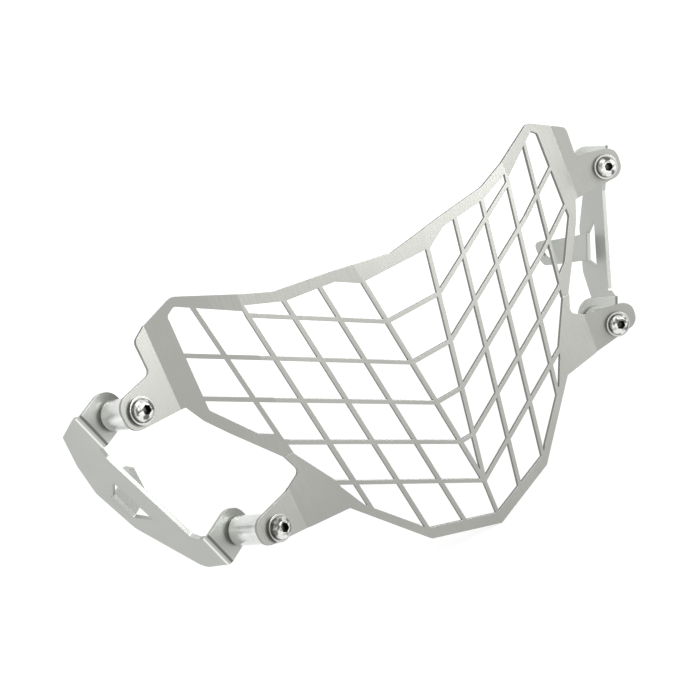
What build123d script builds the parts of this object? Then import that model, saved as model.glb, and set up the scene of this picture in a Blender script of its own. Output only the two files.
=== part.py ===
from build123d import *
import os
from math import atan2, cos, degrees, radians, sin, tan

os.makedirs("parts", exist_ok=True)

# Motorcycle headlight guard: one folded, laser cut grille on two folded side brackets.
# X is to the right as seen from in front of the motorcycle, Y is backwards, Z is up.
# The origin is midway between the two side bolts that hold the headlight and the brackets.
# Front view points are x, z pairs in millimetres, measured from the lowest lattice crossing.

# Place of the grille
GRILLE_Y = -72.0
APEX_Z = -66.5

# Grille sheet
SHEET = 2.0
BAR = 2.4
FOLD_BAR = 4.2
TIP_BAR = 3.2
FOLD_BAR_ANGLE = 9.64
MAIN_SWEEP = 2.64
WING_SWEEP = 8.9
BOLT_TOE = 16.8

# Lattice
FIRST_BAR = 19.5
BAR_PITCH = 18.05
UPRIGHTS = 4
RUNG_START = 1.05
RUNG_PITCH = 22.5
RUNGS = 5
RUNG_RISE = 0.515

# Points where the folds cross the front view
WING_FOLD_TOP = (77.0, 132.7)
WING_FOLD_FOOT = (82.5, 58.8)
UPPER_EAR_FOLD = (118.8, 106.7)
LOWER_EAR_FOLD = (90.9, 33.8)
NOTCH_Z = 58.8

# Bolt holes of the grille's ears in the front view
UPPER_BOLT = (137.2, 106.7)
LOWER_BOLT = (105.0, 33.8)

# Fasteners, M6
THREAD = 6.0
EAR_HOLE = 6.6
WASHER_BORE = 6.4
WASHER_OUTSIDE = 12.5
WASHER = 1.6
HEAD = 10.5
HEAD_HEIGHT = 3.3
HEAD_CROWN = 2.5
HEX_KEY = 4.0
HEX_DEPTH = 2.2
SPACER_OUTSIDE = 13.5
UPPER_SPACER = 17.5
LOWER_SPACER = 24.0
NUT_FLATS = 10.0
NUT_HEIGHT = 6.0
NUT_CLEARANCE = 0.1
SCREW_TAIL = 2.5
EDGE_BREAK = 0.6

# Side bracket
PLATE = 2.0
UPPER_REACH = 12.5
LOWER_REACH = 14.3
BEND_INSIDE = 0.5
BRACKET_EAR_END = 8.5
BRACKET_EAR_ABOVE = 11.2
BRACKET_EAR_BELOW = 6.4
ARM_SWEEP = 18.0
FLANGE_X = 134.7
SIDE_BOLT_HOLE = 6.6
RELIEF = 5.3
EAR_FLAT = 0.3
WINDOW_BACK = 27.8
ARM_TOP = 4.2
ARM_FOOT = -10.4
ARM_OVERRUN = 1.4
FLANGE_HALF = 7.0
FLANGE_BACK = 7.5
FLANGE_ROUNDING = 4.0

# Length by which the bars are drawn past the sheet before they are cut to it
RUN_ON = 2 * BAR_PITCH


def outline_points():
    """Corners of the right half of the sheet in the front view, each with its rounding."""
    return [
        (-5.1, 119.2, 0.0),
        (0.0, 118.5, 0.0),
        (30.7, 123.1, 0.0),
        (60.6, 126.6, 12.0),
        (WING_FOLD_TOP[0], WING_FOLD_TOP[1], 0.0),
        (103.3, 143.7, 5.0),
        (118.4, 137.3, 0.0),
        (125.7, 133.2, 3.5),
        (125.3, 118.3, 3.0),
        (UPPER_BOLT[0] + 8.8, UPPER_BOLT[1] + 7.4, 6.5),
        (UPPER_BOLT[0] + 8.1, UPPER_BOLT[1] - 6.9, 6.5),
        (116.7, 97.8, 0.0),
        (112.0, 89.0, 0.0),
        (104.3, 79.2, 0.0),
        (87.1, NOTCH_Z, 0.0),
        (83.3, 50.0, 3.0),
        (92.3, 45.0, 0.0),
        (LOWER_BOLT[0] + 10.9, LOWER_BOLT[1] + 8.0, 5.8),
        (LOWER_BOLT[0] + 10.0, LOWER_BOLT[1] - 4.0, 5.8),
        (88.6, 25.0, 0.0),
        (68.2, 23.2, 2.0),
        (36.7, -10.1, 2.0),
        (0.0, -21.9, 0.0),
        (-5.1, -20.2, 0.0),
    ]


def opening_points():
    """Corners of the latticed opening, each with its rounding."""
    return [
        (-5.1, 112.3, 0.0),
        (20.5, 112.3, 0.0),
        (31.8, 118.2, 0.0),
        (57.8, 120.5, 0.0),
        (WING_FOLD_TOP[0], WING_FOLD_TOP[1] - 5.6, 0.0),
        (WING_FOLD_TOP[0], WING_FOLD_TOP[1] - 8.4, 0.0),
        (103.9, 139.1, 1.5),
        (107.7, 136.7, 1.5),
        (107.9, 92.4, 2.0),
        (92.6, 73.3, 2.0),
        (86.3, 69.9, 1.0),
        (83.1, 59.4, 0.0),
        (69.0, 37.4, 1.0),
        (67.9, 33.8, 0.0),
        (61.1, 21.4, 0.0),
        (40.1, -0.4, 0.0),
        (37.4, -4.0, 1.0),
        (0.0, -16.0, 0.0),
        (-5.1, -14.3, 0.0),
    ]


def seen(plane, x, z):
    """Point of a panel that shows at x, z in the front view."""
    normal = plane.z_dir
    start = plane.origin
    level = APEX_Z + z
    y = start.Y - (normal.X * (x - start.X) + normal.Z * (level - start.Z)) / normal.Y
    return Vector(x, y, level)


def flat(plane, x, z):
    """The same point in the panel's own flat coordinates."""
    local = plane.to_local_coords(seen(plane, x, z))
    return (local.X, local.Y)


def panel_plane(point, normal):
    """Front face of a panel, with x level and y up the sheet."""
    level = Vector(0, 0, 1).cross(normal)
    return Plane(origin=point, x_dir=level, z_dir=normal)


def mitre(here, there, inside):
    """Plane that halves the fold between two panels and faces the first one."""
    fold = here.intersect(there)
    across = (here.z_dir - there.z_dir).normalized()
    if across.dot(inside - fold.position) < 0:
        across = across * -1
    return Plane(origin=fold.position, z_dir=across)


# Planes of the grille's panels on the right half
apex = Vector(0, GRILLE_Y, APEX_Z)
forward = Vector(0, -1, 0)
fold_direction = Vector(sin(radians(FOLD_BAR_ANGLE)), 0, cos(radians(FOLD_BAR_ANGLE)))
centre_plane = panel_plane(apex, forward)
main_plane = panel_plane(apex, forward.rotate(Axis((0, 0, 0), fold_direction), MAIN_SWEEP))
wing_top = seen(main_plane, *WING_FOLD_TOP)
wing_foot = seen(main_plane, *WING_FOLD_FOOT)
wing_normal = main_plane.z_dir.rotate(Axis((0, 0, 0), wing_top - wing_foot), WING_SWEEP)
wing_plane = panel_plane(wing_top, wing_normal)
toe = radians(BOLT_TOE)
bolt_back = Vector(sin(toe), cos(toe), 0)
upper_ear_plane = panel_plane(seen(wing_plane, *UPPER_EAR_FOLD), bolt_back * -1)
lower_ear_plane = panel_plane(seen(main_plane, *LOWER_EAR_FOLD), bolt_back * -1)

# Planes that end the panels
centre_inside = seen(centre_plane, 0, NOTCH_Z)
main_inside = seen(main_plane, FIRST_BAR + BAR_PITCH, NOTCH_Z)
wing_inside = seen(wing_plane, UPPER_EAR_FOLD[0] - BAR_PITCH, UPPER_EAR_FOLD[1])
upper_ear_inside = seen(upper_ear_plane, *UPPER_BOLT)
lower_ear_inside = seen(lower_ear_plane, *LOWER_BOLT)
right_half = Plane(origin=(0, 0, 0), z_dir=(1, 0, 0))
above_notch = Plane(origin=(0, 0, APEX_Z + NOTCH_Z), z_dir=(0, 0, 1))
below_notch = Plane(origin=(0, 0, APEX_Z + NOTCH_Z), z_dir=(0, 0, -1))


def outlined(corners):
    """Closed outline through flat corners, each with its rounding."""
    points = [(x, y) for x, y, _ in corners]
    return FilletPolyline(*points, radius=[rounding for _, _, rounding in corners], close=True)


def rounded(plane, corners):
    """Closed outline through front view corners, laid flat on a panel."""
    return outlined([(*flat(plane, x, z), rounding) for x, z, rounding in corners])


def bar(start, end, width):
    """Straight bar between two flat points."""
    run = Vector(*end) - Vector(*start)
    middle = (Vector(*end) + Vector(*start)) / 2
    with Locations(Location((middle.X, middle.Y, 0), (0, 0, degrees(atan2(run.Y, run.X))))):
        Rectangle(run.length, width)


def lattice(plane):
    """Fold bar, uprights beside it and rising rungs; the top rung ends at the wing's fold."""
    lean = tan(radians(FOLD_BAR_ANGLE))
    low = -RUN_ON
    high = WING_FOLD_TOP[1] + RUN_ON
    bar(flat(plane, 0, 0), flat(plane, lean * high, high), FOLD_BAR)
    for upright in range(UPRIGHTS):
        offset = FIRST_BAR + upright * BAR_PITCH
        foot = flat(plane, offset + lean * low, low)
        bar(foot, flat(plane, offset + lean * high, high), BAR)
    for rung in range(RUNGS):
        start_z = RUNG_START + rung * RUNG_PITCH
        start_x = lean * start_z
        end_x = UPPER_EAR_FOLD[0] if rung < RUNGS - 1 else WING_FOLD_TOP[0]
        end_z = start_z + RUNG_RISE * (end_x - start_x)
        bar(flat(plane, start_x, start_z), flat(plane, end_x, end_z), BAR)


def centre_lattice(plane):
    """Fold bar and level rungs of the panel between the two fold bars."""
    lean = tan(radians(FOLD_BAR_ANGLE))
    high = WING_FOLD_TOP[1]
    bar(flat(plane, 0, 0), flat(plane, lean * high, high), FOLD_BAR)
    for rung in range(1, RUNGS):
        rung_z = RUNG_START + rung * RUNG_PITCH
        bar(flat(plane, -RUN_ON, rung_z), flat(plane, lean * rung_z, rung_z), BAR)


def panel(plane, limits, bars=None):
    """One flat panel of the grille, cut square to its own face and mitred at its folds."""
    with BuildPart() as made:
        with BuildSketch(plane) as face:
            if bars:
                bars(plane)
                bar(flat(plane, 0, -RUN_ON), flat(plane, 0, 0), TIP_BAR)
                with BuildSketch(mode=Mode.INTERSECT):
                    with BuildLine():
                        rounded(plane, outline_points())
                    make_face()
            with BuildSketch(mode=Mode.ADD):
                with BuildLine():
                    rounded(plane, outline_points())
                make_face()
                with BuildSketch(mode=Mode.SUBTRACT):
                    with BuildLine():
                        rounded(plane, opening_points())
                    make_face()
            for bolt in (UPPER_BOLT, LOWER_BOLT):
                with Locations(flat(plane, *bolt)):
                    Circle(EAR_HOLE / 2, mode=Mode.SUBTRACT)
        extrude(amount=-SHEET)
        for limit in limits:
            split(bisect_by=limit, keep=Keep.TOP)
    return made.part


# Panels of the right half, from the middle outwards
centre = panel(centre_plane, [right_half, mitre(centre_plane, main_plane, centre_inside)], centre_lattice)
main_limits = [right_half, mitre(main_plane, centre_plane, main_inside)]
upper_main_limits = main_limits + [above_notch, mitre(main_plane, wing_plane, main_inside)]
lower_main_limits = main_limits + [below_notch, mitre(main_plane, lower_ear_plane, main_inside)]
upper_main = panel(main_plane, upper_main_limits, lattice)
lower_main = panel(main_plane, lower_main_limits, lattice)
wing_limits = [above_notch, mitre(wing_plane, main_plane, wing_inside)]
wing_limits.append(mitre(wing_plane, upper_ear_plane, wing_inside))
wing = panel(wing_plane, wing_limits, lattice)
upper_ear = panel(upper_ear_plane, [above_notch, mitre(upper_ear_plane, wing_plane, upper_ear_inside)])
lower_ear = panel(lower_ear_plane, [below_notch, mitre(lower_ear_plane, main_plane, lower_ear_inside)])

# Grille, one folded sheet
with BuildPart() as guard_grille:
    for piece in (centre, upper_main, lower_main, wing, upper_ear, lower_ear):
        add(piece)
    mirror(about=Plane.YZ)
guard_grille.part.label = "guard_grille"
print("grille", len(guard_grille.part.solids()), guard_grille.part.is_valid)
export_step(guard_grille.part, "parts/guard_grille.step")

# Lines of the two bolts on the right, with z forward along the bolt
upper_bolt = Plane(origin=upper_ear_inside, x_dir=upper_ear_plane.x_dir, z_dir=bolt_back * -1)
lower_bolt = Plane(origin=lower_ear_inside, x_dir=lower_ear_plane.x_dir, z_dir=bolt_back * -1)
bolts = {"upper": (upper_bolt, UPPER_SPACER), "lower": (lower_bolt, LOWER_SPACER)}


def bracket_ear_depth(spacer):
    """Depth of a bracket ear's front face behind the front face of the grille's ear."""
    return SHEET + spacer + WASHER


# Frame of the side plate: x backwards along the bolts, y up the plate, z outwards
upper_seat = upper_bolt.offset(-bracket_ear_depth(UPPER_SPACER)).origin
lower_seat = lower_bolt.offset(-bracket_ear_depth(LOWER_SPACER)).origin
sideways = bolt_back.cross(upper_seat - lower_seat).normalized()
upper_fold = upper_seat + sideways * UPPER_REACH
lower_fold = lower_seat + sideways * LOWER_REACH
between = upper_fold - lower_fold
step_back = between.dot(bolt_back)
climb = between - bolt_back * step_back
half_climb = climb.length / 2
along = climb.normalized()
outward = bolt_back.cross(along)
plate_centre = upper_fold - along * half_climb
plate_plane = Plane(origin=plate_centre, x_dir=bolt_back, z_dir=outward)
upper_bolt_y = plate_plane.to_local_coords(upper_seat).Y
lower_bolt_y = plate_plane.to_local_coords(lower_seat).Y
upper_ear_top = upper_bolt_y + BRACKET_EAR_ABOVE
upper_ear_foot = upper_bolt_y - BRACKET_EAR_BELOW
lower_ear_top = lower_bolt_y + BRACKET_EAR_ABOVE
lower_ear_foot = lower_bolt_y - BRACKET_EAR_BELOW
lower_ear_face = -step_back

# Side plate outline, x back from the upper ear's face and y up the plate, with roundings
plate_corners = [
    (0.0, upper_ear_top, 0.0),
    (RELIEF, upper_ear_top, 0.0),
    (22.4, upper_ear_top - 8.1, 3.0),
    (32.2, 25.0, 8.0),
    (38.0, 7.2, 8.0),
    (34.4, -17.2, 8.0),
    (lower_ear_face + 19.7, lower_ear_foot - 1.2, 8.0),
    (lower_ear_face + RELIEF, lower_ear_foot, 0.0),
    (lower_ear_face, lower_ear_foot, 0.0),
    (lower_ear_face, lower_ear_top, 0.0),
    (lower_ear_face + RELIEF, lower_ear_top, 0.0),
    (lower_ear_face + RELIEF + 4.2, lower_ear_top + 2.4, 2.0),
    (RELIEF + 1.3, upper_ear_foot - 5.8, 2.0),
    (RELIEF, upper_ear_foot, 0.0),
    (0.0, upper_ear_foot, 0.0),
]
window_corners = [
    (18.2, 13.0, 1.0),
    (WINDOW_BACK, ARM_TOP, 0.0),
    (WINDOW_BACK, ARM_FOOT, 0.0),
    (15.4, -13.7, 1.0),
]

# Planes of the arm folded in from the back edge of the window, and of the upright flange on its end
arm_direction = (outward * -1).rotate(Axis((0, 0, 0), along), -ARM_SWEEP)
arm_root = plate_plane.from_local_coords(Vector(WINDOW_BACK, 0, 0))
arm_plane = Plane(origin=arm_root, x_dir=arm_direction, z_dir=along.cross(arm_direction))
flange_plane = Plane(origin=(FLANGE_X - PLATE, 0, 0), x_dir=(0, 1, 0), z_dir=(-1, 0, 0))
arm_bend = arm_plane.intersect(flange_plane)


def bend_point(level):
    """Point of the arm's end bend at a height."""
    share = (level - arm_bend.position.Z) / arm_bend.direction.Z
    return arm_bend.position + arm_bend.direction * share


def arm_points():
    """Corners of the arm in its own plane, run on past the end bend."""
    points = [(0, -ARM_TOP), (0, -ARM_FOOT)]
    for root, level in ((points[1], -FLANGE_HALF), (points[0], FLANGE_HALF)):
        end = arm_plane.to_local_coords(bend_point(level))
        points.append((end.X * ARM_OVERRUN, root[1] + (end.Y - root[1]) * ARM_OVERRUN))
    return points


def reach_out(seat):
    """Distance from a bolt to the outer face of the side plate."""
    return (plate_centre - seat).dot(outward)


def side_ear(seat):
    """Bracket ear bent inwards, with its bolt hole and round end."""
    ear_plane = Plane(origin=seat, x_dir=outward, z_dir=bolt_back * -1)
    height = BRACKET_EAR_ABOVE + BRACKET_EAR_BELOW
    middle_x = (reach_out(seat) - BRACKET_EAR_END) / 2
    middle_y = (BRACKET_EAR_ABOVE - BRACKET_EAR_BELOW) / 2
    with BuildPart() as made:
        with BuildSketch(ear_plane) as face:
            with Locations((middle_x, middle_y)):
                Rectangle(BRACKET_EAR_END + reach_out(seat), height)
            fillet(face.vertices().group_by(Axis.X)[0], height / 2 - EAR_FLAT)
            Circle(EAR_HOLE / 2, mode=Mode.SUBTRACT)
        extrude(amount=-PLATE)
    return made.part


upper_side_ear = side_ear(upper_seat)
lower_side_ear = side_ear(lower_seat)

with BuildPart() as arm:
    with BuildSketch(arm_plane):
        with BuildLine():
            Polyline(*arm_points(), close=True)
        make_face()
    extrude(amount=-PLATE)
    split(bisect_by=mitre(arm_plane, flange_plane, arm_root), keep=Keep.TOP)

with BuildPart() as flange:
    with BuildSketch(flange_plane) as face:
        with Locations(((FLANGE_BACK - RUN_ON) / 2, 0)):
            Rectangle(FLANGE_BACK + RUN_ON, 2 * FLANGE_HALF)
        fillet(face.vertices().group_by(Axis.X)[-1], FLANGE_ROUNDING)
        Circle(SIDE_BOLT_HOLE / 2, mode=Mode.SUBTRACT)
    extrude(amount=-PLATE)
    split(bisect_by=mitre(flange_plane, arm_plane, Vector(FLANGE_X, 0, 0)), keep=Keep.TOP)


def bend(part, inside_corner, outside_corner, direction):
    """Round both sides of a fold."""
    for corner, radius in ((inside_corner, BEND_INSIDE), (outside_corner, BEND_INSIDE + PLATE)):
        edges = part.edges().filter_by(Axis((0, 0, 0), direction))
        fillet(edges.sort_by_distance(corner)[0], radius)


# Right bracket, one folded plate
with BuildPart() as right_bracket:
    with BuildSketch(plate_plane) as plate_face:
        with BuildLine():
            outlined(plate_corners)
        make_face()
        with BuildSketch(mode=Mode.SUBTRACT):
            with BuildLine():
                outlined(window_corners)
            make_face()
    extrude(amount=-PLATE)
    for folded in (upper_side_ear, lower_side_ear, arm.part, flange.part):
        add(folded)
    for seat in (upper_seat, lower_seat):
        middle = seat + along * (BRACKET_EAR_ABOVE - BRACKET_EAR_BELOW) / 2
        outside = middle + outward * reach_out(seat)
        bend(right_bracket, outside - outward * PLATE + bolt_back * PLATE, outside, along)

# Left bracket, its mirror image
with BuildPart() as left_bracket:
    add(right_bracket.part.mirror(Plane.YZ))

right_bracket.part.label = "right_bracket"
left_bracket.part.label = "left_bracket"
export_step(right_bracket.part, "parts/right_bracket.step")
export_step(left_bracket.part, "parts/left_bracket.step")
print("bracket", len(right_bracket.part.solids()), right_bracket.part.is_valid)


def ring(start, thickness, bore, outside):
    """Flat ring on a bolt, from a plane backwards."""
    with BuildPart() as made:
        with BuildSketch(start):
            Circle(outside / 2)
            Circle(bore / 2, mode=Mode.SUBTRACT)
        extrude(amount=-thickness)
    return made.part


def button_screw(line, grip):
    """Button head screw with a hexagon socket, its head seated on the front washer."""
    with BuildPart() as made:
        with BuildSketch(line.offset(WASHER)):
            Circle(HEAD / 2)
        extrude(amount=HEAD_HEIGHT)
        crown = made.faces().sort_by_distance(line.offset(WASHER + HEAD_HEIGHT).origin)[0]
        fillet(crown.edges(), HEAD_CROWN)
        with BuildSketch(line.offset(WASHER)):
            Circle(THREAD / 2)
        extrude(amount=-(WASHER + grip + NUT_HEIGHT + SCREW_TAIL))
        tail = made.faces().sort_by_distance(line.offset(-(grip + NUT_HEIGHT + SCREW_TAIL)).origin)[0]
        chamfer(tail.edges(), EDGE_BREAK)
        with BuildSketch(line.offset(WASHER + HEAD_HEIGHT)):
            RegularPolygon(HEX_KEY / 2, 6, major_radius=False)
        extrude(amount=-HEX_DEPTH, mode=Mode.SUBTRACT)
    return made.part


def hexagon_nut(start):
    """Nut behind a bracket ear, bored clear of the thread."""
    with BuildPart() as made:
        with BuildSketch(start):
            RegularPolygon(NUT_FLATS / 2, 6, major_radius=False)
            Circle(THREAD / 2 + NUT_CLEARANCE, mode=Mode.SUBTRACT)
        extrude(amount=-NUT_HEIGHT)
    return made.part


# Bolted joints of both ears, right side and its mirror image
for level, (line, spacer) in bolts.items():
    ear_back = -SHEET
    seat_back = -bracket_ear_depth(spacer)
    grip = bracket_ear_depth(spacer) + PLATE
    pieces = {
        "screw": button_screw(line, grip),
        "front_washer": ring(line.offset(WASHER), WASHER, WASHER_BORE, WASHER_OUTSIDE),
        "spacer": ring(line.offset(ear_back), spacer, WASHER_BORE, SPACER_OUTSIDE),
        "rear_washer": ring(line.offset(ear_back - spacer), WASHER, WASHER_BORE, WASHER_OUTSIDE),
        "nut": hexagon_nut(line.offset(-grip)),
    }
    for name, piece in pieces.items():
        for side in ("right", "left"):
            solid = piece if side == "right" else piece.mirror(Plane.YZ)
            solid.label = level + "_" + side + "_" + name
            export_step(solid, "parts/" + solid.label + ".step")
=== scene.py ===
# %% [markdown]
# # A folded lattice guard for a motorcycle headlight
#
# The guard is a piece of thin steel plate, cut into a net of slanting bars and folded along a few
# lines, so that it stands in front of the lamp like a shallow shield. Two bent plates carry it, and
# four short tubes keep it clear of them. The shapes with a real size come from the packed model.
# This script gives them light, a camera and metal finishes, and makes the small fasteners again
# with the threads, chamfers and sockets that a maker would expect to see.

import math

import bmesh
import bpy
import numpy
from mathutils import Matrix, Vector


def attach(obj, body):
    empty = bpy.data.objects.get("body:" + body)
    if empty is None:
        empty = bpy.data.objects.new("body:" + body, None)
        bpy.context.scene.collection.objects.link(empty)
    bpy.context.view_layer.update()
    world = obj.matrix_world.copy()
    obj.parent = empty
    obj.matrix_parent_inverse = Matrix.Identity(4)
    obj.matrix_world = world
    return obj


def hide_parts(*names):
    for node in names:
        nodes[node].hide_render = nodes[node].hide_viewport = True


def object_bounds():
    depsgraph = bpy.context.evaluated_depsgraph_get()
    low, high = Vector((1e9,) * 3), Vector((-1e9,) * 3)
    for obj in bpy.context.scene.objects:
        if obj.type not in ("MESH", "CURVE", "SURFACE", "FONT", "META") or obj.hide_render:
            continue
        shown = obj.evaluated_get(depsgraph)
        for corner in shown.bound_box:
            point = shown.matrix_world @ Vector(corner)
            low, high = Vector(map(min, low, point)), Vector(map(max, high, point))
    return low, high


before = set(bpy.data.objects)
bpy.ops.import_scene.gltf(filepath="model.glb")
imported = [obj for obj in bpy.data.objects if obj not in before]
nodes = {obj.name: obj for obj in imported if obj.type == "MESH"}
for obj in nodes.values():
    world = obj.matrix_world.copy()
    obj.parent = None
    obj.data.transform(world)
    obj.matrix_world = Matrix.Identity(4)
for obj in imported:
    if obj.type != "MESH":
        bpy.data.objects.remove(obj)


def corners(box):
    """A box as two plain lists of numbers, lowest corner first."""
    return [[round(float(number), 6) for number in corner] for corner in box]


packed_box = corners(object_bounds())
MM = 0.001
print("nodes:", len(nodes), "box:", packed_box)

# %% [markdown]
# ## Camera
#
# The picture was taken from the left of the guard and a little above it, with the camera turned
# about its own line of sight. A long lens keeps the far side almost as large as the near side.
# The direction is written as three angles, because angles are easier to check against the picture
# than a matrix: how far left, how far up, and how far the camera is turned.

# %% The camera
VIEW_LEFT = 26.655
VIEW_UP = 11.344
VIEW_TURN = -22.987
LENS = 69.295
CAMERA_PLACE = (-0.30433, -0.60103, 0.14010)


def camera_axes(left, up, turn):
    """The camera's right, up and backward directions, from its three angles in degrees."""
    left, up, turn = (math.radians(angle) for angle in (left, up, turn))
    forward = Vector((math.sin(left) * math.cos(up), math.cos(left) * math.cos(up), -math.sin(up)))
    level = Vector((math.cos(left), -math.sin(left), 0.0))
    upright = level.cross(forward)
    right = math.cos(turn) * level + math.sin(turn) * upright
    return right, math.cos(turn) * upright - math.sin(turn) * level, -forward


lens = bpy.data.cameras.new("photo_camera")
lens.lens = LENS
camera = bpy.data.objects.new("photo_camera", lens)
bpy.context.scene.collection.objects.link(camera)
turned = Matrix(camera_axes(VIEW_LEFT, VIEW_UP, VIEW_TURN)).transposed().to_4x4()
camera.matrix_world = Matrix.Translation(CAMERA_PLACE) @ turned
bpy.context.scene.camera = camera
print("camera at", CAMERA_PLACE)

# %% [markdown]
# ## Light
#
# Bare metal shows what is around it more than its own colour, so the lamps matter as much as the
# finish. One wide soft lamp stands to the right, where the right half of the guard mirrors it and
# turns almost white. The left half mirrors the darker space beside it. A second soft lamp overhead
# keeps the top edges and the bends bright. A weak one at the left lifts the right ears a little.

# %% The lamps
def soft_lamp(name, right, up, distance, size, power):
    """A square lamp that faces the guard from `right` degrees of its front and `up` degrees."""
    right, up = math.radians(right), math.radians(up)
    way = Vector((math.sin(right) * math.cos(up), -math.cos(right) * math.cos(up), math.sin(up)))
    light = bpy.data.lights.new(name, "AREA")
    light.shape = "SQUARE"
    light.size = size
    light.energy = power
    lamp = bpy.data.objects.new(name, light)
    bpy.context.scene.collection.objects.link(lamp)
    facing = way.to_track_quat("Z", "Y").to_matrix().to_4x4()
    lamp.matrix_world = Matrix.Translation(way * distance) @ facing
    return lamp


soft_lamp("right_lamp", 40, 14, 1.6, 0.8, 14)
soft_lamp("top_lamp", -10, 70, 1.6, 1.2, 6)
soft_lamp("left_lamp", -24, 22, 1.8, 0.6, 2)

# %% [markdown]
# ## Shader sums
#
# A finish is a small calculation: this much grain, minus that much wear, times a colour. Written
# out node by node it is hard to read, so a socket is wrapped in a class that knows plus, minus and
# times. Every other kind of node is added by one method, which sets its choices before its sockets.

# %% A socket that can be added up
class Wire:
    """One output of a node. Sums on it add Math nodes to its finish."""

    def __init__(self, finish, socket):
        self.finish = finish
        self.socket = socket

    def work(self, operation, *values):
        return self.finish.add("ShaderNodeMath", dict(operation=operation), dict(enumerate(values)))

    def __add__(self, other):
        return self.work("ADD", self, other)

    def __sub__(self, other):
        return self.work("SUBTRACT", self, other)

    def __rsub__(self, other):
        return self.work("SUBTRACT", other, self)

    def __mul__(self, other):
        return self.work("MULTIPLY", self, other)

    __radd__ = __add__
    __rmul__ = __mul__

    def above(self, level, soft):
        """0 below the level and 1 above it, with a soft step between them."""
        steps = {"Value": self, "From Min": level - soft, "From Max": level + soft}
        return self.finish.add("ShaderNodeMapRange", dict(interpolation_type="SMOOTHSTEP"), steps)


print("a wire knows:", [name for name in vars(Wire) if not name.startswith("__")])


# %% A finish made from wires
class Finish:
    """A material with one Principled shader, built up from wires."""

    def __init__(self, name):
        self.material = bpy.data.materials.new(name)
        self.material.use_nodes = True
        self.tree = self.material.node_tree
        self.shader = self.tree.nodes["Principled BSDF"]
        self.place = self.add("ShaderNodeTexCoord", {}, {}, "Object")

    def set(self, sockets, node):
        for name, value in sockets.items():
            if isinstance(value, Wire):
                self.tree.links.new(value.socket, node.inputs[name])
            else:
                node.inputs[name].default_value = value

    def add(self, kind, settings, sockets, output=0):
        """Any node: its kind, its choices, and the values or wires of its sockets."""
        node = self.tree.nodes.new(kind)
        for name, value in settings.items():
            setattr(node, name, value)
        self.set(sockets, node)
        return Wire(self, node.outputs[output])

    def blend(self, share, first, second):
        """The first colour where the share is 0, and the second where it is 1."""
        colours = {0: share, 6: first, 7: second}
        return self.add("ShaderNodeMix", dict(data_type="RGBA"), colours, 2)

    def speckle(self, size, detail=2.0, longer=(1, 1, 1)):
        """Noise with spots of about `size` metres, drawn out by `longer`."""
        drawn = dict(Vector=self.place, Scale=longer)
        place = self.add("ShaderNodeMapping", dict(vector_type="TEXTURE"), drawn)
        spots = {"Vector": place, "Scale": 1 / size, "Detail": detail}
        return self.add("ShaderNodeTexNoise", {}, spots)

    def finish_with(self, **sockets):
        """The shader's own sockets. Underscores stand for the spaces in their names."""
        self.set({name.replace("_", " "): value for name, value in sockets.items()}, self.shader)
        return self.material


print("finishes are made from wires")

# %% [markdown]
# ## Blasted steel
#
# The guard and its plates have an even, silky surface, as steel has after fine blasting: no mirror
# image, only a soft sheen, with a grain far smaller than a millimetre. The faces are bright. The
# walls of the guard's openings, which the cutting beam left, are rougher, and shade is painted on
# them in a darker colour; the walls of the ears are left light. Edges are rubbed bright. The wall
# is found by its own direction, and the edge by the difference between the true surface and one
# with its corners rounded. The guard was also brushed, which leaves faint lines up and down the
# sheet: they are the same noise as the grain, drawn out to fourteen times its length. On the bends
# of the side plates a highlight line and a dark reflection line are painted.

# %% Where an edge and a cut wall are
EDGE = 0.3 * MM
EAR_START = 103 * MM
EAR_SPREAD = 0.383


def rounded_corners(finish):
    """The surface's direction with its corners rounded, and how near the corner is."""
    soft = finish.add("ShaderNodeBevel", dict(samples=6), dict(Radius=EDGE))
    true = finish.add("ShaderNodeNewGeometry", {}, {}, "True Normal")
    dot = dict(operation="DOT_PRODUCT")
    same = finish.add("ShaderNodeVectorMath", dot, {0: soft, 1: true}, "Value")
    return soft, (1 - same).above(0.10, 0.08)


def cut_wall(finish, across):
    """1 on walls that stand across the plate, whose faces look along `across`."""
    true = finish.add("ShaderNodeNewGeometry", {}, {}, "True Normal")
    dot = dict(operation="DOT_PRODUCT")
    along = finish.add("ShaderNodeVectorMath", dot, {0: true, 1: across}, "Value")
    return 1 - along.work("ABSOLUTE", along).above(0.55, 0.1)


def between_ears(finish):
    """1 on the latticed shield, and 0 on the ears, which spread further apart with height."""
    aside = finish.add("ShaderNodeSeparateXYZ", {}, {"Vector": finish.place}, "X")
    height = finish.add("ShaderNodeSeparateXYZ", {}, {"Vector": finish.place}, "Z")
    return 1 - (aside.work("ABSOLUTE", aside) - height * EAR_SPREAD).above(EAR_START, 2 * MM)


print("edges are rounded by", round(EDGE / MM, 2), "mm")


# %% A painted highlight and a painted dark reflection on the bends
BEND_BACK = Vector((0.289, 0.9573, 0))
BEND_OUT = Vector((0.8967, -0.2707, -0.3503))
BENDS = {1: (0.1553, -0.0501, 0.0381), -1: (0.1266, -0.0501, -0.0355)}


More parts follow.
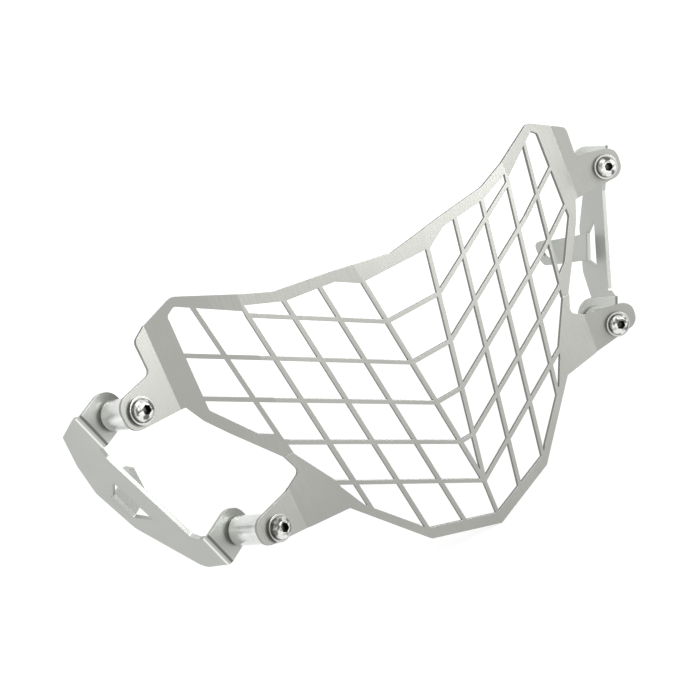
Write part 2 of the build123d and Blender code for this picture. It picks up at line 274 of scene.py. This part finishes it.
def painted_bend_reflections(finish):
    """A painted highlight line and a painted dark reflection line along the bends of the side
    plates.
    """
    whole = {"Vector": finish.place}
    parts = {name: finish.add("ShaderNodeSeparateXYZ", {}, whole, name) for name in "XYZ"}
    sides = {"X": parts["X"].work("ABSOLUTE", parts["X"]), "Y": parts["Y"], "Z": parts["Z"]}
    place = finish.add("ShaderNodeCombineXYZ", {}, sides)
    light, dark = 0, 0
    for side, corner in BENDS.items():
        step = finish.add("ShaderNodeVectorMath", dict(operation="SUBTRACT"), {0: place, 1: corner})
        dot = dict(operation="DOT_PRODUCT")
        far = finish.add("ShaderNodeVectorMath", dot, {0: step, 1: BEND_BACK - BEND_OUT}, "Value")
        turn = finish.add("ShaderNodeVectorMath", dot, {0: step, 1: BEND_BACK + BEND_OUT}, "Value")
        here = (1 - far.above(3.3 * MM, 0.2 * MM)) * (parts["Z"] * side).above(15 * MM, 1 * MM)
        light = light + here * turn.above(1.0 * MM, 0.3 * MM) * (1 - turn.above(2.4 * MM, 0.3 * MM))
        dark = dark + here * turn.above(-2.4 * MM, 0.3 * MM) * (1 - turn.above(-0.8 * MM, 0.4 * MM))
    return light, dark


print("pressed bends on each side plate:", len(BENDS))


# %% The finish of the guard
def blasted_steel(name, bright, wall_shade_colour, wall_shade_share, folded=False):
    """Silky steel. The wall share is how much painted shade, in the darker wall colour, a cut wall
    takes.
    """
    finish = Finish(name)
    cloud = finish.speckle(40 * MM, 3)
    grain = finish.speckle(0.5 * MM, 4)
    soft, edge = rounded_corners(finish)
    # Where painted shade goes: the cut walls of the openings, but not those of the ears.
    wall = cut_wall(finish, (0, 1, 0)) * between_ears(finish) * wall_shade_share
    dull = tuple(0.88 * part for part in bright[:3]) + (1,)
    face = finish.blend(cloud.above(0.5, 0.3), dull, bright)
    face = finish.blend((grain - 0.35) * 0.25, face, dull)
    if not folded:
        brushed = finish.speckle(0.7 * MM, 2, longer=(1, 1, 14))
        face = finish.blend(brushed.above(0.55, 0.2) * 0.8, face, dull)
    # Painted shade on those walls, in the darker wall colour.
    colour = finish.blend(wall, face, wall_shade_colour)
    colour = finish.blend(edge * 0.35, colour, (0.80, 0.80, 0.77, 1))
    if folded:
        # Painted highlight and painted dark reflection beside the bends of the side plates.
        light, dark = painted_bend_reflections(finish)
        colour = finish.blend(light * 0.9, colour, (0.93, 0.93, 0.91, 1))
        colour = finish.blend(dark * 0.8, colour, (0.10, 0.10, 0.095, 1))
    rough = 0.40 + (cloud - 0.5) * 0.10 + wall * 0.12 - edge * 0.12
    heights = dict(Strength=0.2, Distance=0.03 * MM, Height=grain, Normal=soft)
    bumps = finish.add("ShaderNodeBump", {}, heights)
    return finish.finish_with(Base_Color=colour, Roughness=rough, Metallic=1.0, Normal=bumps)


# The second colour and the share are the painted shade on the guard's cut walls.
grille_steel = blasted_steel("grille_steel", (0.372, 0.374, 0.35, 1), (0.22, 0.22, 0.21, 1), 0.8)
bracket_tones = (0.50, 0.515, 0.485, 1), (0.30, 0.30, 0.28, 1)
bracket_steel = blasted_steel("bracket_steel", *bracket_tones, 0, True)
print("steel:", grille_steel.name, bracket_steel.name)


# %% [markdown]
# ## The guard's sheet, made finer
#
# Next to the picture the bars of the packed sheet look a little heavy: they are two tenths of a
# millimetre too wide on each side, and the sheet is half a millimetre too thick. The two bars that
# are folded down their middle are too wide by a whole millimetre on each side, and the short bar
# at the tip by 0.7. The mesh of the sheet is copied and its loose triangles are joined. Then each
# kind of face is given a distance to move inwards, and every corner moves to where its own moved
# faces meet. That is three small equations for a corner of a bar, and least squares solves them
# for any number of faces.

# %% Which faces are walls of the openings
BAR_SAVED = 0.2
FOLD_BAR_SAVED = 1.0
TIP_BAR_SAVED = 0.7
SHEET_SAVED = 0.5
FOLD_LEAN = math.radians(9.64)
FOLD_FOOT = -66.5 * MM
FOLD_BAR_HALF = 2.1 * MM
TIP_BAR_REACH = 1.8 * MM
WIDEST_OPENING = 150 * MM
LATTICE_REACH = 110 * MM
BOLT_HOLE = 8 * MM
INNERMOST_BOLT = 100 * MM


def wall_rings(shape):
    """The walls of the sheet, in rings that are joined to each other edge by edge."""
    waiting = {face for face in shape.faces if abs(face.normal.y) < 0.5}
    while waiting:
        ring = [waiting.pop()]
        for face in ring:
            for edge in face.edges:
                for other in edge.link_faces:
                    if other in waiting:
                        waiting.remove(other)
                        ring.append(other)
        yield ring


def opening_walls(shape):
    """The walls of the latticed openings, without the outline and the bolt holes."""
    walls = set()
    for ring in wall_rings(shape):
        aside = [vert.co.x for face in ring for vert in face.verts]
        width = max(aside) - min(aside)
        far = [abs(place) for place in aside]
        if width < WIDEST_OPENING and max(far) < LATTICE_REACH:
            hole = width < BOLT_HOLE and min(far) > INNERMOST_BOLT
            walls.update([] if hole else ring)
    return walls


def bar_saved(face):
    """How far a wall of an opening goes in: further on the two folded bars and the tip."""
    middle = face.calc_center_median()
    up = middle.z - FOLD_FOOT
    way = Vector((math.cos(FOLD_LEAN), 0, -math.sin(FOLD_LEAN)))
    far = Vector((abs(middle.x), 0, up)).dot(way)
    half = math.copysign(1, face.normal.x * middle.x)
    side = Vector((abs(face.normal.x), 0, face.normal.z * half))
    on_bar = abs(abs(far) - FOLD_BAR_HALF) < 0.15 * MM
    if up > 0 and on_bar and abs(side.dot(way)) > 0.97:
        return FOLD_BAR_SAVED
    if up < 0 and abs(middle.x) < TIP_BAR_REACH and abs(face.normal.x) > 0.97:
        return TIP_BAR_SAVED
    return BAR_SAVED


print("bars lose", BAR_SAVED, "folded bars", FOLD_BAR_SAVED, "the tip", TIP_BAR_SAVED, "mm a side")


# %% How far each corner moves
def moved(vert, walls):
    """How far a corner goes so that it stays on all of its faces after they have moved."""
    rows = []
    sizes = []
    for face in vert.link_faces:
        if all((face.normal - Vector(row)).length > 0.01 for row in rows):
            saved = bar_saved(face) if face in walls else SHEET_SAVED if face.normal.y > 0.5 else 0
            rows.append(tuple(face.normal))
            sizes.append(-saved * MM)
    return Vector(numpy.linalg.lstsq(numpy.array(rows), numpy.array(sizes), rcond=0.08)[0])


# %% Move the corners of the copied sheet
sheet = bmesh.new()
sheet.from_mesh(nodes["guard_grille"].data)
bmesh.ops.remove_doubles(sheet, verts=sheet.verts[:], dist=0.002 * MM)
walls = opening_walls(sheet)
steps = [moved(vert, walls) for vert in sheet.verts]
kinds = [bar_saved(face) for face in walls]
print("walls of folded bars", kinds.count(FOLD_BAR_SAVED), "of the tip", kinds.count(TIP_BAR_SAVED))
for vert, step in zip(sheet.verts, steps):
    vert.co += step
for face in sheet.faces:
    face.smooth = False
loose = [edge for edge in sheet.edges if len(edge.link_faces) != 2]
print("sheet faces", len(sheet.faces), "open edges", len(loose), "opening walls", len(walls))
print("longest step", round(max(step.length for step in steps) / MM, 2), "mm")

# %% The finer sheet takes the place of the packed one
sheet_mesh = bpy.data.meshes.new("lattice_sheet")
sheet.to_mesh(sheet_mesh)
sheet.free()
lattice_sheet = bpy.data.objects.new("lattice_sheet", sheet_mesh)
bpy.context.scene.collection.objects.link(lattice_sheet)
sheet_mesh.materials.append(grille_steel)
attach(lattice_sheet, "root")
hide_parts("guard_grille")
print("made", lattice_sheet.name, "with", len(sheet_mesh.polygons), "faces")

# %% [markdown]
# ## Turned and polished metal
#
# The four spacers are turned from light bar, so they keep fine rings round their own line. The
# washers and nuts are plain bright steel, and the button screws are polished. The rings follow each
# bolt, which leans inwards a little, so the pattern is turned by the same angle as the bolt.

# %% The line of each bolt
BOLTS = ["upper_left", "upper_right", "lower_left", "lower_right"]


def bolt_line(bolt):
    """The middle of a bolt's spacer and the bolt's direction, from front to back, by its mesh."""
    places = [vertex.co for vertex in nodes[bolt + "_spacer"].data.vertices]
    middle = sum(places, Vector()) / len(places)
    screw = [vertex.co for vertex in nodes[bolt + "_screw"].data.vertices]
    far = sum(screw, Vector()) / len(screw)
    spread = Matrix(((0,) * 3,) * 3)
    for place in screw:
        step = place - far
        spread += Matrix([step * part for part in step])
    way = Vector((0, 1, 0))
    for _ in range(60):
        way = (spread @ way).normalized()
    return middle, way


lines = {bolt: bolt_line(bolt) for bolt in BOLTS}
for bolt, (middle, way) in lines.items():
    print(bolt, [round(part, 4) for part in middle], [round(part, 4) for part in way])


# %% Finishes for the small parts
def turned_metal(name, colour, rough, ring, way, wall=0.0):
    """Metal with rings `ring` metres apart round `way`. `wall` paints shade, in a dark colour, on
    the sides that face across the bolt.
    """
    finish = Finish(name)
    dot = dict(operation="DOT_PRODUCT")
    along = finish.add("ShaderNodeVectorMath", dot, {0: finish.place, 1: way}, "Value")
    rings = (along * (2 * math.pi / ring)).work("SINE", along * (2 * math.pi / ring))
    cloud = finish.speckle(6 * MM, 3)
    soft, edge = rounded_corners(finish)
    dull = tuple(0.86 * part for part in colour[:3]) + (1,)
    shade = finish.blend(cloud.above(0.5, 0.25), dull, colour)
    # Painted shade on the sides that face across the bolt, as much as the last argument asks.
    shade = finish.blend(cut_wall(finish, way) * wall, shade, (0.12, 0.12, 0.11, 1))
    shade = finish.blend(edge * 0.4, shade, (0.88, 0.88, 0.88, 1))
    heights = dict(Strength=0.25, Distance=0.01 * MM, Height=rings + cloud, Normal=soft)
    bumps = finish.add("ShaderNodeBump", {}, heights)
    wear = rough + (cloud - 0.5) * 0.15
    return finish.finish_with(Base_Color=shade, Roughness=wear, Metallic=1.0, Normal=bumps)


SPACER = (0.78, 0.795, 0.775, 1)
WASHER = (0.56, 0.57, 0.55, 1)
for bolt, (middle, way) in lines.items():
    # The washers take painted shade on their round sides.
    washer = turned_metal(bolt + "_pressed", WASHER, 0.24, 0.8 * MM, way, 0.9)
    nodes[bolt + "_front_washer"].material_slots[0].material = washer
    nodes[bolt + "_rear_washer"].material_slots[0].material = washer
for bracket in ("left_bracket", "right_bracket"):
    nodes[bracket].material_slots[0].material = bracket_steel
print("finished nodes:", sum(bool(node.material_slots) for node in nodes.values()))

# %% [markdown]
# ## Button screws
#
# Each ear is held by a low, round headed screw with a hexagon socket. The packed model has a plain
# shank, because a thread would only slow down the tests. Here the whole screw is made again. The
# thread is a short zigzag that is spun many times round while it climbs one pitch a turn, which is
# the same motion as the cutter's on a real thread. Two flat cuts end it. The head is an arc spun
# round once, and its socket is a hexagon that is bridged to the round rim and then pressed in.

# %% Shapes that turn round the bolt
THREAD = 6.0
PITCH = 1.0
HEAD = 10.5
HEAD_HEIGHT = 3.3
HEX_KEY = 4.0
HEX_DEPTH = 2.2
ROUND_STEPS = 48
TURN_STEPS = 24


def spin_round(shape, profile):
    """Adds a line of (radius, height) points, in millimetres, spun once round z."""
    dots = [shape.verts.new((radius * MM, 0, height * MM)) for radius, height in profile]
    runs = [shape.edges.new(pair) for pair in zip(dots, dots[1:])]
    once = dict(angle=math.tau, steps=ROUND_STEPS, use_merge=True)
    bmesh.ops.spin(shape, geom=dots + runs, cent=(0, 0, 0), axis=(0, 0, 1), **once)


def open_rim(shape, height, radius=None):
    """The open edges at a height, in millimetres, and, if asked, at a radius."""
    rim = []
    for edge in shape.edges:
        middle = (edge.verts[0].co + edge.verts[1].co) / 2
        near = radius is None or abs(middle.xy.length - radius * MM) < 0.12 * MM
        if edge.is_boundary and abs(middle.z - height * MM) < 0.001 * MM and near:
            rim.append(edge)
    return rim


def hexagon(shape, flats, height):
    """A ring of edges in the form of a hexagon, as many as a spun ring has."""
    place = Matrix.Translation((0, 0, height * MM))
    radius = flats / 2 / math.cos(math.pi / 6) * MM
    made = bmesh.ops.create_circle(shape, segments=6, radius=radius, matrix=place)
    sides = list({edge for vert in made["verts"] for edge in vert.link_edges})
    cuts = ROUND_STEPS // 6 - 1
    bmesh.ops.subdivide_edges(shape, edges=sides, cuts=cuts, use_grid_fill=False)
    return [edge for edge in shape.edges if edge.is_wire]


def sink(shape, rim, depth):
    """Draws a ring of edges straight down by a depth in millimetres."""
    walls = bmesh.ops.extrude_edge_only(shape, edges=rim)["geom"]
    lower = [part for part in walls if isinstance(part, bmesh.types.BMVert)]
    bmesh.ops.translate(shape, verts=lower, vec=(0, 0, -depth * MM))
    return [part for part in walls if isinstance(part, bmesh.types.BMEdge) and part.is_boundary]


print("round shapes have", ROUND_STEPS, "steps")


# %% A thread
def cut_thread(shape, length):
    """A right-hand thread from 0 down to `length`, with a tapered end."""
    turns = math.ceil(length / PITCH) + 2
    root = THREAD / 2 - 0.55 * PITCH
    tooth = [(root, 0.0), (THREAD / 2, 0.42), (THREAD / 2, 0.58), (root, 1.0)]
    start = -length - PITCH
    dots = [shape.verts.new((far * MM, 0, (start + up * PITCH) * MM)) for far, up in tooth]
    runs = [shape.edges.new(pair) for pair in zip(dots, dots[1:])]
    climb = dict(axis=(0, 0, 1), dvec=(0, 0, PITCH / TURN_STEPS * MM))
    around = dict(angle=math.tau * turns, steps=TURN_STEPS * turns)
    bmesh.ops.spin(shape, geom=dots + runs, cent=(0, 0, 0), **climb, **around)
    bmesh.ops.remove_doubles(shape, verts=shape.verts[:], dist=0.004 * MM)
    for height, outer in ((-length, -1), (0, 1)):
        everything = shape.verts[:] + shape.edges[:] + shape.faces[:]
        cut = dict(plane_co=(0, 0, height * MM), plane_no=(0, 0, outer), clear_outer=True)
        bmesh.ops.bisect_plane(shape, geom=everything, dist=0.0001 * MM, **cut)
    for vert in shape.verts:
        widest = THREAD / 2 - 0.7 + (vert.co.z / MM + length)
        share = widest * MM / max(vert.co.xy.length, 1e-9)
        if share < 1:
            vert.co.xy *= share
    bmesh.ops.edgeloop_fill(shape, edges=open_rim(shape, -length))


def screw_shape(length):
    """A whole screw: thread below 0, head above it."""
    shape = bmesh.new()
    cut_thread(shape, length)
    edge = HEAD / 2
    top = HEAD_HEIGHT
    rim = [(edge - 0.25, 0), (edge, 0.25), (edge, 0.75)]
    dome = [(4.98, 1.5), (4.45, 2.25), (3.85, 2.82), (3.2, 3.2)]
    spin_round(shape, [(3.15, 0)] + rim + dome + [(2.95, top)])
    bmesh.ops.bridge_loops(shape, edges=open_rim(shape, 0))
    socket = hexagon(shape, HEX_KEY, top)
    bmesh.ops.bridge_loops(shape, edges=open_rim(shape, top, 2.95) + socket)
    mouth = open_rim(shape, top)
    floor_rim = sink(shape, mouth, HEX_DEPTH)
    end = bmesh.ops.edgeloop_fill(shape, edges=floor_rim)["faces"]
    bmesh.ops.poke(shape, faces=end, offset=-0.6 * MM)
    bmesh.ops.recalc_face_normals(shape, faces=shape.faces[:])
    return shape


print("thread M", THREAD, "pitch", PITCH, "socket", HEX_KEY, "mm")


# %% Put a shape on its bolt
def along_bolt(node, middle, way):
    """How far a packed node reaches along its bolt, from the spacer's middle, in metres."""
    steps = [(vertex.co - middle).dot(way) for vertex in nodes[node].data.vertices]
    return min(steps), max(steps)


def put_on_bolt(shape, name, node, middle, way, depth):
    """Stands a shape on its bolt, `depth` metres behind the spacer's middle, in place of a node."""
    up = Vector((0, 0, 1))
    forward = -way
    axes = Matrix((up.cross(forward).normalized(), up, forward)).transposed().to_4x4()
    place = Matrix.Translation(middle + way * depth) @ axes
    bmesh.ops.transform(shape, matrix=place, verts=shape.verts[:])
    mesh = bpy.data.meshes.new(name)
    shape.to_mesh(mesh)
    shape.free()
    piece = bpy.data.objects.new(name, mesh)
    bpy.context.scene.collection.objects.link(piece)
    mesh.shade_smooth()
    mesh.set_sharp_from_angle(angle=math.radians(32))
    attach(piece, "root")
    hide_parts(node)
    return piece


def check_closed(shape, name):
    """Counts the open or doubled edges, which a solid piece must not have."""
    loose = [edge for edge in shape.edges if len(edge.link_faces) != 2]
    print(name, "faces", len(shape.faces), "open edges", len(loose))


for bolt, (middle, way) in lines.items():
    reach = along_bolt(bolt + "_screw", middle, way)
    print(bolt, "screw reaches", [round(place / MM, 1) for place in reach], "mm from the middle")


# %% The finish of the screws
def polished(name, seat, way):
    """Polished steel with painted dark reflections in patches, painted shade in the socket, and a
    painted shaded band round the foot of the head.
    """
    finish = Finish(name)
    dot = dict(operation="DOT_PRODUCT")
    minus = dict(operation="SUBTRACT")
    step = finish.add("ShaderNodeVectorMath", minus, {0: finish.place, 1: seat})
    height = finish.add("ShaderNodeVectorMath", dot, {0: step, 1: -way}, "Value")
    cross = dict(operation="CROSS_PRODUCT")
    aside = finish.add("ShaderNodeVectorMath", cross, {0: step, 1: way})
    far = finish.add("ShaderNodeVectorMath", dict(operation="LENGTH"), {0: aside}, "Value")
    inside = (1 - far.above(2.34 * MM, 0.12 * MM)) * height.above(0.9 * MM, 0.1 * MM)
    shaded_socket = inside * (1 - height.above(3.22 * MM, 0.05 * MM))
    shaded_band_under_head = (1 - height.above(1.4 * MM, 0.4 * MM)) * height.above(-0.2 * MM, 0.1 * MM)
    cloud = finish.speckle(3.0 * MM, 1)
    # Painted reflections: patches of near black on the polished metal.
    shade = finish.blend(cloud.above(0.46, 0.09), (0.14, 0.14, 0.13, 1), (0.78, 0.78, 0.76, 1))
    # Painted shade in the hexagon socket.
    shade = finish.blend(shaded_socket * 0.93, shade, (0.035, 0.035, 0.035, 1))
    # Painted shade in a band round the foot of the head.
    shade = finish.blend(shaded_band_under_head * 0.85, shade, (0.06, 0.06, 0.055, 1))
    rough = 0.11 + cloud * 0.06 + shaded_socket * 0.25
    heights = dict(Strength=0.3, Distance=0.02 * MM, Height=cloud)
    bumps = finish.add("ShaderNodeBump", {}, heights)
    return finish.finish_with(Base_Color=shade, Roughness=rough, Metallic=1.0, Normal=bumps)


# %% The four screws
for bolt, (middle, way) in lines.items():
    seat = along_bolt(bolt + "_front_washer", middle, way)[0]
    tail = along_bolt(bolt + "_screw", middle, way)[1]
    shape = screw_shape((tail - seat) / MM)
    check_closed(shape, bolt + "_screw")
    name = bolt + "_button_screw"
    screw = put_on_bolt(shape, name, bolt + "_screw", middle, way, seat)
    screw.data.materials.append(polished(bolt + "_polished", middle + way * seat, way))

# %% [markdown]
# ## Nuts
#
# A hexagon nut is cut from bar and then turned, so a cone takes the six corners off both ends and
# leaves a round face. The same cone sinks the mouth of its bore. Rings at the heights of these
# lines are joined to two hexagons, whose corners are drawn down to where the cone meets them.

# %% The four nuts
NUT_FLATS = 10.0
NUT_BORE = 6.1


def nut_shape(height):
    """A nut from 0 down to its height."""
    shape = bmesh.new()
    face = 0.94 * NUT_FLATS / 2
    mouth = NUT_BORE / 2 + 0.45
    bore = NUT_BORE / 2
    half = [(face, 0), (mouth, 0), (bore, -0.45)]
    spin_round(shape, half + [(radius, -height - up) for radius, up in reversed(half)])
    for level, turn in ((0, 1), (-height, -1)):
        ring = hexagon(shape, NUT_FLATS, level)
        for vert in {vert for edge in ring for vert in edge.verts}:
            beyond = vert.co.xy.length - face * MM
            vert.co.z -= turn * (0.06 * MM + 0.5 * beyond)
        bmesh.ops.bridge_loops(shape, edges=open_rim(shape, level, face) + ring)
    rims = [edge for edge in shape.edges if edge.is_boundary]
    bmesh.ops.bridge_loops(shape, edges=rims)
    bmesh.ops.recalc_face_normals(shape, faces=shape.faces[:])
    return shape


for bolt, (middle, way) in lines.items():
    front, rear = along_bolt(bolt + "_nut", middle, way)
    shape = nut_shape((rear - front) / MM)
    check_closed(shape, bolt + "_nut")
    name = bolt + "_hexagon_nut"
    nut = put_on_bolt(shape, name, bolt + "_nut", middle, way, front)
    nut.data.materials.append(turned_metal(bolt + "_cut_nut", WASHER, 0.26, 1.3 * MM, way))

# %% [markdown]
# ## Spacers
#
# A spacer is a piece of bar with a hole through it, and the lathe takes the sharp corner off both
# ends. It is one outline spun round once. It reaches forward to the back of the guard's ear.

# %% The four spacers
SPACER_OUTSIDE = 13.5
SPACER_BORE = 6.4
EDGE_BREAK = 0.35


def spacer_shape(length):
    """A tube from 0 down to its length, with all four of its edges broken."""
    shape = bmesh.new()
    outer, inner, edge = SPACER_OUTSIDE / 2, SPACER_BORE / 2, EDGE_BREAK
    end = [(inner, -edge), (inner + edge, 0), (outer - edge, 0), (outer, -edge)]
    other = [(radius, -length - height) for radius, height in reversed(end)]
    spin_round(shape, end + other + end[:1])
    bmesh.ops.remove_doubles(shape, verts=shape.verts[:], dist=0.001 * MM)
    bmesh.ops.recalc_face_normals(shape, faces=shape.faces[:])
    return shape


for bolt, (middle, way) in lines.items():
    front, rear = along_bolt(bolt + "_spacer", middle, way)
    front -= SHEET_SAVED * MM
    shape = spacer_shape((rear - front) / MM)
    check_closed(shape, bolt + "_spacer")
    name = bolt + "_turned_spacer"
    spacer = put_on_bolt(shape, name, bolt + "_spacer", middle, way, front)
    spacer.data.materials.append(turned_metal(bolt + "_turned", SPACER, 0.20, 0.25 * MM, way))

# %% [markdown]
# ## Floor and background
#
# The picture has a plain white ground. The floor stays a real surface, so the guard still throws a
# soft shadow, but the camera and the metal see the floor and the space around it as white.

# %% The floor and the white space
def white_where_seen(tree, plain, output, strength):
    """Joins to `output` the plain shader, with white added where camera or metal looks at it."""
    path = tree.nodes.new("ShaderNodeLightPath")
    seen = path.outputs["Is Camera Ray"]
    for ray in ("Is Glossy Ray", "Is Transmission Ray"):
        either = tree.nodes.new("ShaderNodeMath")
        either.operation = "MAXIMUM"
        tree.links.new(seen, either.inputs[0])
        tree.links.new(path.outputs[ray], either.inputs[1])
        seen = either.outputs[0]
    mix = tree.nodes.new("ShaderNodeMixShader")
    tree.links.new(seen, mix.inputs[0])
    tree.links.new(plain, mix.inputs[1])
    tree.links.new(strength, mix.inputs[2])
    tree.links.new(mix.outputs[0], output)


WORLD_LIGHT = 0.55
world = bpy.data.worlds.new("white_space")
world.use_nodes = True
bpy.context.scene.world = world
dim = world.node_tree.nodes["Background"]
dim.inputs["Color"].default_value = (1, 1, 1, 1)
dim.inputs["Strength"].default_value = WORLD_LIGHT
white = world.node_tree.nodes.new("ShaderNodeBackground")
white.inputs["Color"].default_value = (1, 1, 1, 1)
white.inputs["Strength"].default_value = 1.0
ground = world.node_tree.nodes["World Output"].inputs["Surface"]
white_where_seen(world.node_tree, dim.outputs[0], ground, white.outputs[0])

shape = bmesh.new()
bmesh.ops.create_grid(shape, x_segments=1, y_segments=1, size=4)
bmesh.ops.translate(shape, verts=shape.verts, vec=(0, 0, packed_box[0][2]))
floor_mesh = bpy.data.meshes.new("floor")
shape.to_mesh(floor_mesh)
shape.free()
floor = bpy.data.objects.new("floor", floor_mesh)
bpy.context.scene.collection.objects.link(floor)
pale = Finish("pale_floor")
pale.tree.nodes.remove(pale.shader)
far = pale.add("ShaderNodeVectorMath", dict(operation="LENGTH"), {0: pale.place}, "Value")
matt = pale.add("ShaderNodeBsdfDiffuse", {}, {"Color": (0.86, 0.86, 0.86, 1)})
thin = pale.add("ShaderNodeBsdfDiffuse", {}, {"Color": (0.35, 0.35, 0.35, 1)})
glow = pale.add("ShaderNodeEmission", {}, {"Strength": 0.75 + far.above(0.5, 0.3) * 0.25})
both = pale.add("ShaderNodeAddShader", {}, {0: thin, 1: glow})
surface = pale.tree.nodes["Material Output"].inputs["Surface"]
white_where_seen(pale.tree, matt.socket, surface, both.socket)
floor_mesh.materials.append(pale.material)
bpy.context.scene.view_settings.view_transform = "Standard"
print("floor at", packed_box[0][2])

# %% [markdown]
# ## The end
